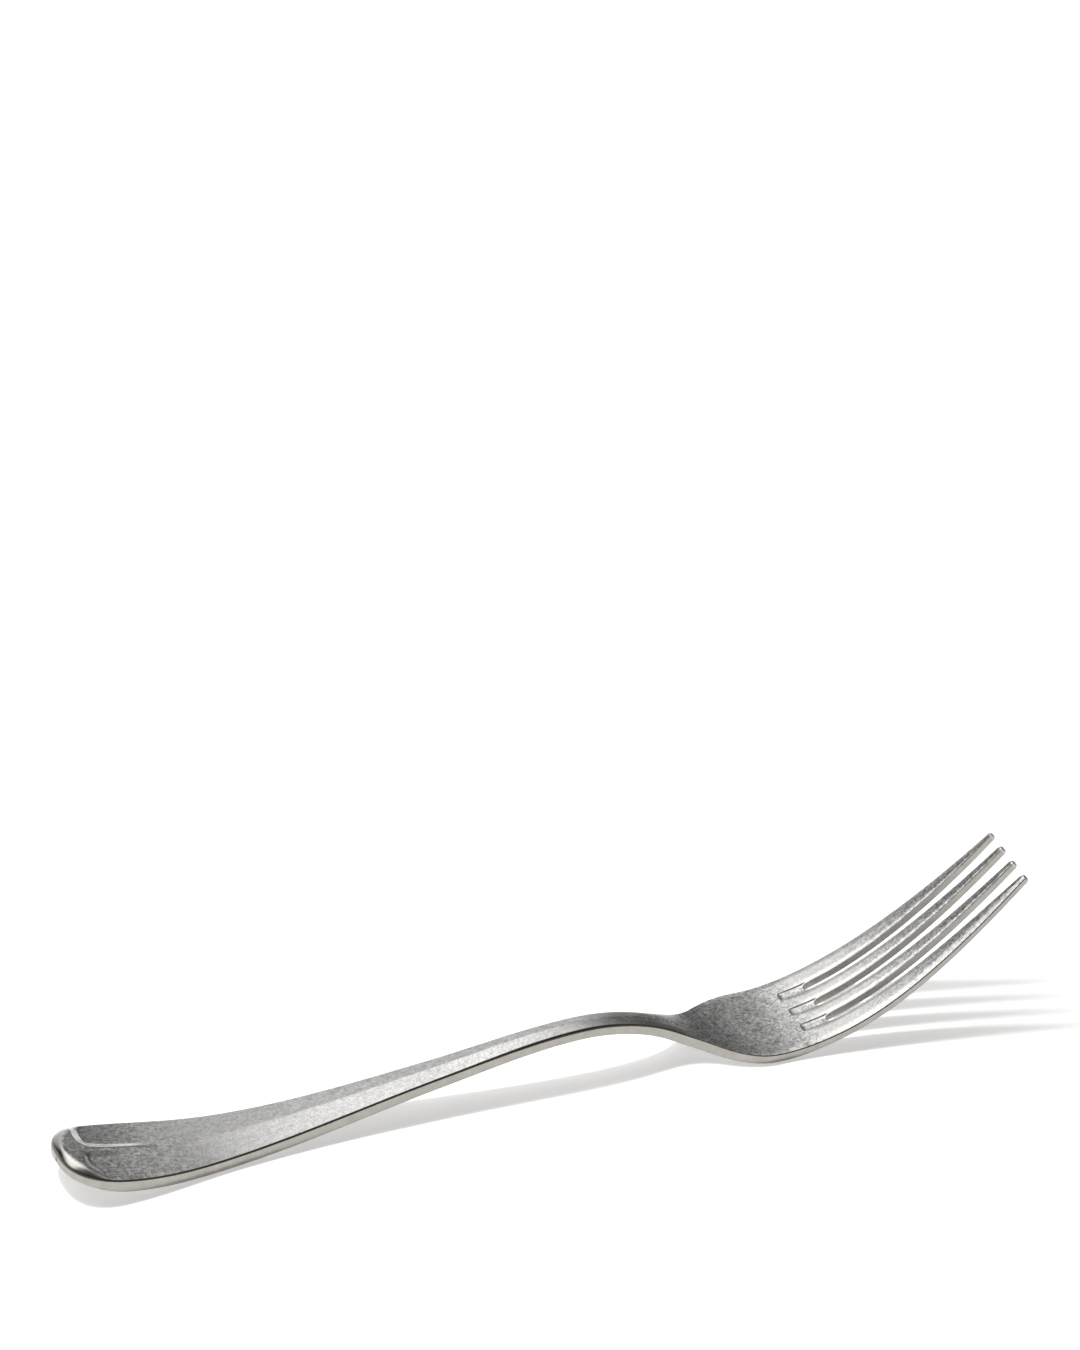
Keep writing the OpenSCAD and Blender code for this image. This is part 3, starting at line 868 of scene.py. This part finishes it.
def tumbled_steel():
    """Stainless steel, tumbled to a mottled grain on its faces and left satin on its trimmed edges."""
    material = bpy.data.materials.new("tumbled_steel")
    material.use_nodes = True
    tree = material.node_tree
    shader = tree.nodes["Principled BSDF"]
    shader.inputs["Metallic"].default_value = 1.0
    coords = node(tree, "ShaderNodeTexCoord").outputs["Object"]
    wash = node(tree, "ShaderNodeAttribute", attribute_name="wash").outputs["Fac"]
    grain = noise(tree, coords, GRAIN_SCALE, GRAIN_DETAIL, GRAIN_SPREAD, GRAIN_DISTORTION)
    clouds = noise(tree, coords, CLOUD_SCALE, CLOUD_DETAIL, CLOUD_SPREAD)
    speckle = mixed(tree, "FLOAT", CLOUD_SHARE, grain["Fac"], clouds["Fac"])
    mottle = remap(tree, speckle, MOTTLE_LOW, MOTTLE_HIGH, 0, 1)
    washed = mixed(tree, "RGBA", mixed(tree, "FLOAT", wash, MIDDLE_GREY, mottle), WASH_DARK, WASH_LIGHT)
    cloudy = remap(tree, clouds["Fac"], CLOUD_LOW, CLOUD_HIGH, 0, 1)
    satin = mixed(tree, "RGBA", cloudy, EDGE_DARK, EDGE_LIGHT)
    # Painted light and shade from the points scale the colour
    tone = node(tree, "ShaderNodeAttribute", attribute_name="tone").outputs["Fac"]
    grey = remap(tree, wash, 0, GREY_FROM, 0, 1)
    colour = vector_maths(tree, "SCALE", mixed(tree, "RGBA", grey, satin, washed), scale=tone)
    tree.links.new(colour, shader.inputs["Base Color"])
    both = maths(tree, "ADD", grain["Fac"], clouds["Fac"])
    washed_rough = remap(tree, both, ROUGH_LOW, ROUGH_HIGH, *WASH_ROUGH)
    satin_rough = remap(tree, clouds["Fac"], CLOUD_LOW, CLOUD_HIGH, *SATIN_ROUGH)
    tree.links.new(mixed(tree, "FLOAT", wash, satin_rough, washed_rough), shader.inputs["Roughness"])
    lean = vector_maths(tree, "SUBTRACT", grain["Color"], (0.5, 0.5, 0.5))
    lean = vector_maths(tree, "SCALE", lean, scale=remap(tree, wash, 0, 1, SATIN_TILT, GRAIN_TILT))
    facing = node(tree, "ShaderNodeNewGeometry").outputs["Normal"]
    leaned = vector_maths(tree, "NORMALIZE", vector_maths(tree, "ADD", facing, lean))
    tree.links.new(leaned, shader.inputs["Normal"])
    return material


# Counts and places of the lines along the meshes and the rings across them
HANDLE_LINE_COUNT, HANDLE_LINE_CROWDING = 25, 1.3
GROOVE_SIDE_LINES = np.linspace(-0.1, 1.1, 9)
GROOVE_FLOOR_LINES = np.linspace(-0.5, 0.5, 5)
BETWEEN_LINES = np.linspace(-1, 1, 5)
OUTER_LINES_FROM, OUTER_LINES_END, OUTER_LINE_COUNT = 6.9, 0.99, 9
NOSE_RINGS, NOSE_TURN, NOSE_RING_GAP = 44, math.radians(75), 0.05
STEP_LEAD, STEP_RINGS = 1.9, 80
HANDLE_RINGS, NECK_RINGS, PALM_RINGS = 200, 100, 80
GROOVE_LEAD, GROOVE_END_LEN, GROOVE_END_RINGS, GROOVE_RINGS = 0.1, 1.0, 24, 16
ROOT_RINGS, TINE_RINGS = 18, 120


def steps(start, end, count):
    """Places in even steps from start to end."""
    return np.linspace(start, end, count + 1)


def handle_lines():
    """Shares of the width, closer together along the crease."""
    half = np.linspace(0, 1, HANDLE_LINE_COUNT)[:-1] ** HANDLE_LINE_CROWDING
    return np.concatenate([-half[:0:-1], half])


def palm_lines():
    """Shares of the width, closer together along the sides of the grooves."""
    flat = PALM_HALF_W - inset_at(X_ROOT, 0.0)
    reach = SLOT_W / 2 + SLOT_CUT
    sides = reach - GROOVE_RUN * GROOVE_SIDE_LINES
    groove = np.concatenate([-sides, GROOVE_FLOOR_LINES, sides[::-1]])
    grooves = np.concatenate([groove + s * SLOT_PITCH for s in (-1, 0, 1)])
    outer = np.linspace(OUTER_LINES_FROM, flat * OUTER_LINES_END, OUTER_LINE_COUNT)
    between = np.concatenate([TINE_MIDDLE + BETWEEN_LINES, outer])
    return np.unique(np.concatenate([grooves, between, -between])) / flat


def nose_places():
    """Places of the rings around the rounded end, closest together at its tip."""
    first_turn = math.asin(NOSE_HALF_W / WIDE_HALF_W)
    widths = WIDE_HALF_W * np.sin(np.linspace(first_turn, NOSE_TURN, NOSE_RINGS))
    places = end_place(widths)
    return places[places < X_HANDLE - NOSE_RING_GAP]


def build_pieces(material):
    """One mesh for each node: the rounded end, the handle, the neck, the palm and four tines."""
    step_places = steps(X_PAD - STEP_LEAD, X_HANDLE, STEP_RINGS)
    end_places = np.unique(np.concatenate([nose_places(), step_places]))
    handle_places = steps(X_HANDLE, at(NECK_AT), HANDLE_RINGS)
    neck_places = steps(at(NECK_AT), at(PALM_AT), NECK_RINGS)
    full = handle_lines()
    make_piece("handle_end", full_width_skin(end_places, full, full_top, handle_finish_and_shading), material)
    make_piece("handle", full_width_skin(handle_places, full, full_top, handle_finish_and_shading), material)
    make_piece("neck", full_width_skin(neck_places, full, full_top, neck_finish_and_shading), material)
    groove_from = X_GROOVE - GROOVE_LEAD
    groove_end = X_GROOVE + GROOVE_END_LEN
    palm_places = np.concatenate([
        steps(at(PALM_AT), groove_from, PALM_RINGS)[:-1],
        steps(groove_from, groove_end, GROOVE_END_RINGS)[:-1],
        steps(groove_end, X_ROOT, GROOVE_RINGS),
    ])
    make_piece("palm", full_width_skin(palm_places, palm_lines(), palm_top, palm_finish_and_shading), material)
    tine_places = np.concatenate([
        X_ROOT + ROOT_ROUND * (1 - np.cos(np.radians(steps(0, 90, ROOT_RINGS)[:-1]))),
        steps(X_ROOT + ROOT_ROUND, X_TIP - TIP_ROUND, TINE_RINGS),
    ])
    outer = with_tip(tine_skin(tine_places, outer_low, None))
    inner = with_tip(tine_skin(tine_places, inner_low, inner_high))
    make_piece("tine_1", outer.mirrored(), material)
    make_piece("tine_2", inner.mirrored(), material)
    make_piece("tine_3", inner, material)
    make_piece("tine_4", outer, material)


def direction(azimuth, elevation):
    """Unit vector towards a place in the studio: azimuth from +X towards +Y, elevation above the floor."""
    a, e = math.radians(azimuth), math.radians(elevation)
    return Vector((math.cos(e) * math.cos(a), math.cos(e) * math.sin(a), math.sin(e)))


def area_lamp(name, location, facing, size, brightness):
    """Area lamp that shines back along its facing direction and stays out of reflections."""
    light = bpy.data.lights.new(name, "AREA")
    light.shape = "RECTANGLE"
    light.size, light.size_y = size
    light.energy = brightness * math.pi * size[0] * size[1]
    lamp = bpy.data.objects.new(name, light)
    lamp.location = location
    lamp.rotation_euler = facing.to_track_quat("Z", "Y").to_euler()
    lamp.visible_glossy = False
    bpy.context.scene.collection.objects.link(lamp)


# The studio's lights, with angles in degrees and the other edges as directions from the fork
FRONT_LIGHT, SIDE_LIGHT, BACK_LIGHT = 0.13, 0.05, 0.62
FRONT_TINT = (1.0, 0.94, 0.88, 1.0)
NO_TINT = (1.0, 1.0, 1.0, 1.0)
FRONT_END, FRONT_START = -0.3, 0.1
SIDE_FROM, BACK_FROM, BACK_FULL = 0, 52, 76
LEFT_FROM, LEFT_END, LEFT_SHARE = 95, 125, 0.15
FILL_LIGHT, FILL_TOP = 0.6, (0.35, 0.65)
FILL_FRONT, FILL_LEFT = (-0.1, -0.4), (-0.65, -0.85)
HORIZON_LIGHT, HORIZON_FROM, HORIZON_FULL = 0.6, 20, 50
HORIZON_END, HORIZON_TOP = 0.02, 0.1
SOFTBOX_LIGHT = 1.2
SOFTBOX_LEFT, SOFTBOX_RIGHT = (-1.4, -0.8), (-0.2, 0.15)
SOFTBOX_FRONT, SOFTBOX_BACK = (0.25, 0.45), (0.75, 1.0)
CEILING_FROM, CEILING_FULL = 26, 38
CEILING_DIM, CEILING_LIGHT = 0.3, 1.5
LEAST_HEIGHT = 0.05
CEILING_RIGHT, CEILING_LEFT, CEILING_FRONT = (0.06, 0.65), (-2.2, 0.0), (0.12, 0.45)


def studio_world():
    """Studio with a lit back wall and ceiling, dim on the right, and a low fill in front and on the left."""
    world = bpy.data.worlds.new("studio")
    bpy.context.scene.world = world
    world.use_nodes = True
    tree = world.node_tree
    background = tree.nodes["Background"]
    coords = node(tree, "ShaderNodeTexCoord").outputs["Generated"]
    parts = node(tree, "ShaderNodeSeparateXYZ")
    tree.links.new(coords, parts.inputs["Vector"])
    x, y, z = (parts.outputs[axis] for axis in "XYZ")
    azimuth = maths(tree, "ARCTAN2", y, x)
    past_front = remap(tree, y, FRONT_END, FRONT_START, 0, 1, smooth=True)
    tint = mixed(tree, "RGBA", past_front, FRONT_TINT, NO_TINT)
    tree.links.new(tint, background.inputs["Color"])

    def around(start, end, to_low, to_high):
        return remap(tree, azimuth, math.radians(start), math.radians(end), to_low, to_high, smooth=True)

    side = around(SIDE_FROM, BACK_FROM, FRONT_LIGHT, FRONT_LIGHT + SIDE_LIGHT)
    back = around(BACK_FROM, BACK_FULL, 0, BACK_LIGHT)
    left = around(LEFT_FROM, LEFT_END, 1, LEFT_SHARE)
    walls = maths(tree, "MULTIPLY", maths(tree, "ADD", side, back), left)
    low = remap(tree, z, HORIZON_END, HORIZON_TOP, 1, 0, smooth=True)
    horizon = maths(tree, "MULTIPLY", around(HORIZON_FROM, HORIZON_FULL, 0, HORIZON_LIGHT), low)
    walls = maths(tree, "ADD", walls, horizon)
    front_fill = remap(tree, y, *FILL_FRONT, 0, FILL_LIGHT, smooth=True)
    left_fill = remap(tree, x, *FILL_LEFT, 0, FILL_LIGHT, smooth=True)
    fill = maths(tree, "MAXIMUM", front_fill, left_fill)
    fill = maths(tree, "MULTIPLY", fill, remap(tree, z, *FILL_TOP, 1, 0, smooth=True))
    walls = maths(tree, "ADD", walls, fill)
    height = maths(tree, "MAXIMUM", z, LEAST_HEIGHT)
    sideways = maths(tree, "DIVIDE", x, height)
    backwards = maths(tree, "DIVIDE", y, height)
    ceiling = remap(tree, sideways, *CEILING_RIGHT, CEILING_LIGHT, CEILING_DIM, smooth=True)
    for place, edge in ((sideways, CEILING_LEFT), (backwards, CEILING_FRONT)):
        ceiling = maths(tree, "MULTIPLY", ceiling, remap(tree, place, *edge, 0, 1, smooth=True))
    ceiling = maths(tree, "ADD", ceiling, FRONT_LIGHT)
    softbox_glow = remap(tree, sideways, *SOFTBOX_LEFT, 0, SOFTBOX_LIGHT, smooth=True)
    softbox_edges = (
        (sideways, SOFTBOX_RIGHT, 1, 0),
        (backwards, SOFTBOX_FRONT, 0, 1),
        (backwards, SOFTBOX_BACK, 1, 0),
    )
    for place, edge, near, far in softbox_edges:
        kept = remap(tree, place, *edge, near, far, smooth=True)
        softbox_glow = maths(tree, "MULTIPLY", softbox_glow, kept)
    ceiling = maths(tree, "ADD", ceiling, softbox_glow)
    sines = (math.sin(math.radians(angle)) for angle in (CEILING_FROM, CEILING_FULL))
    overhead = remap(tree, z, *sines, 0, 1, smooth=True)
    tree.links.new(mixed(tree, "FLOAT", overhead, walls, ceiling), background.inputs["Strength"])


# The floor lies just under the fork
FLOOR_SIZE, FLOOR_GAP = 8.0, 0.02 * MM
FLOOR_COLOUR = (0.8, 0.8, 0.8, 1)
FLOOR_GLOW = 0.4


def white_floor():
    """White table: diffuse enough to hold the shadow, and white to the eye and in reflections."""
    bpy.ops.mesh.primitive_plane_add(size=FLOOR_SIZE, location=(0, 0, -FLOOR_GAP))
    floor = bpy.context.object
    floor.name = "floor"
    material = bpy.data.materials.new("white_table")
    material.use_nodes = True
    tree = material.node_tree
    tree.nodes.remove(tree.nodes["Principled BSDF"])
    diffuse = node(tree, "ShaderNodeBsdfDiffuse")
    diffuse.inputs["Color"].default_value = FLOOR_COLOUR
    glow = node(tree, "ShaderNodeEmission")
    rays = node(tree, "ShaderNodeLightPath").outputs
    seen = maths(tree, "ADD", rays["Is Camera Ray"], rays["Is Glossy Ray"])
    seen = maths(tree, "ADD", seen, rays["Is Transmission Ray"])
    seen = maths(tree, "MINIMUM", seen, 1.0)
    tree.links.new(maths(tree, "MULTIPLY", seen, FLOOR_GLOW), glow.inputs["Strength"])
    both = node(tree, "ShaderNodeAddShader")
    tree.links.new(diffuse.outputs[0], both.inputs[0])
    tree.links.new(glow.outputs[0], both.inputs[1])
    tree.links.new(both.outputs[0], tree.nodes["Material Output"].inputs["Surface"])
    floor.data.materials.append(material)


# The camera stands in front and to the left, 2.5 m off with a long lens, and looks down on the fork
VIEW_TURN, VIEW_RISE = math.radians(21.38), math.radians(31.77)
VIEW_DISTANCE = 2500.0
AIM = Vector((0.2, -0.03, 83.25))
LENS = 386.3


def photo_camera():
    camera = bpy.data.cameras.new("camera")
    camera.lens = LENS
    stand_at = bpy.data.objects.new("camera", camera)
    back = Vector((
        -math.sin(VIEW_TURN) * math.cos(VIEW_RISE),
        -math.cos(VIEW_TURN) * math.cos(VIEW_RISE),
        math.sin(VIEW_RISE),
    ))
    stand_at.location = (AIM + back * VIEW_DISTANCE) * MM
    stand_at.rotation_euler = back.to_track_quat("Z", "Y").to_euler()
    bpy.context.scene.collection.objects.link(stand_at)
    bpy.context.scene.camera = stand_at


# The key lamp stands behind the fork and casts its shadow
KEY_AZIMUTH, KEY_ELEVATION, KEY_DISTANCE = 116, 63, 0.9
KEY_SIZE, KEY_BRIGHTNESS = (0.16, 0.045), 235

photo_camera()
white_floor()
studio_world()
key_side = direction(KEY_AZIMUTH, KEY_ELEVATION)
area_lamp("key", key_side * KEY_DISTANCE, key_side, KEY_SIZE, KEY_BRIGHTNESS)
build_pieces(tumbled_steel())
bpy.context.scene.view_settings.view_transform = "Standard"
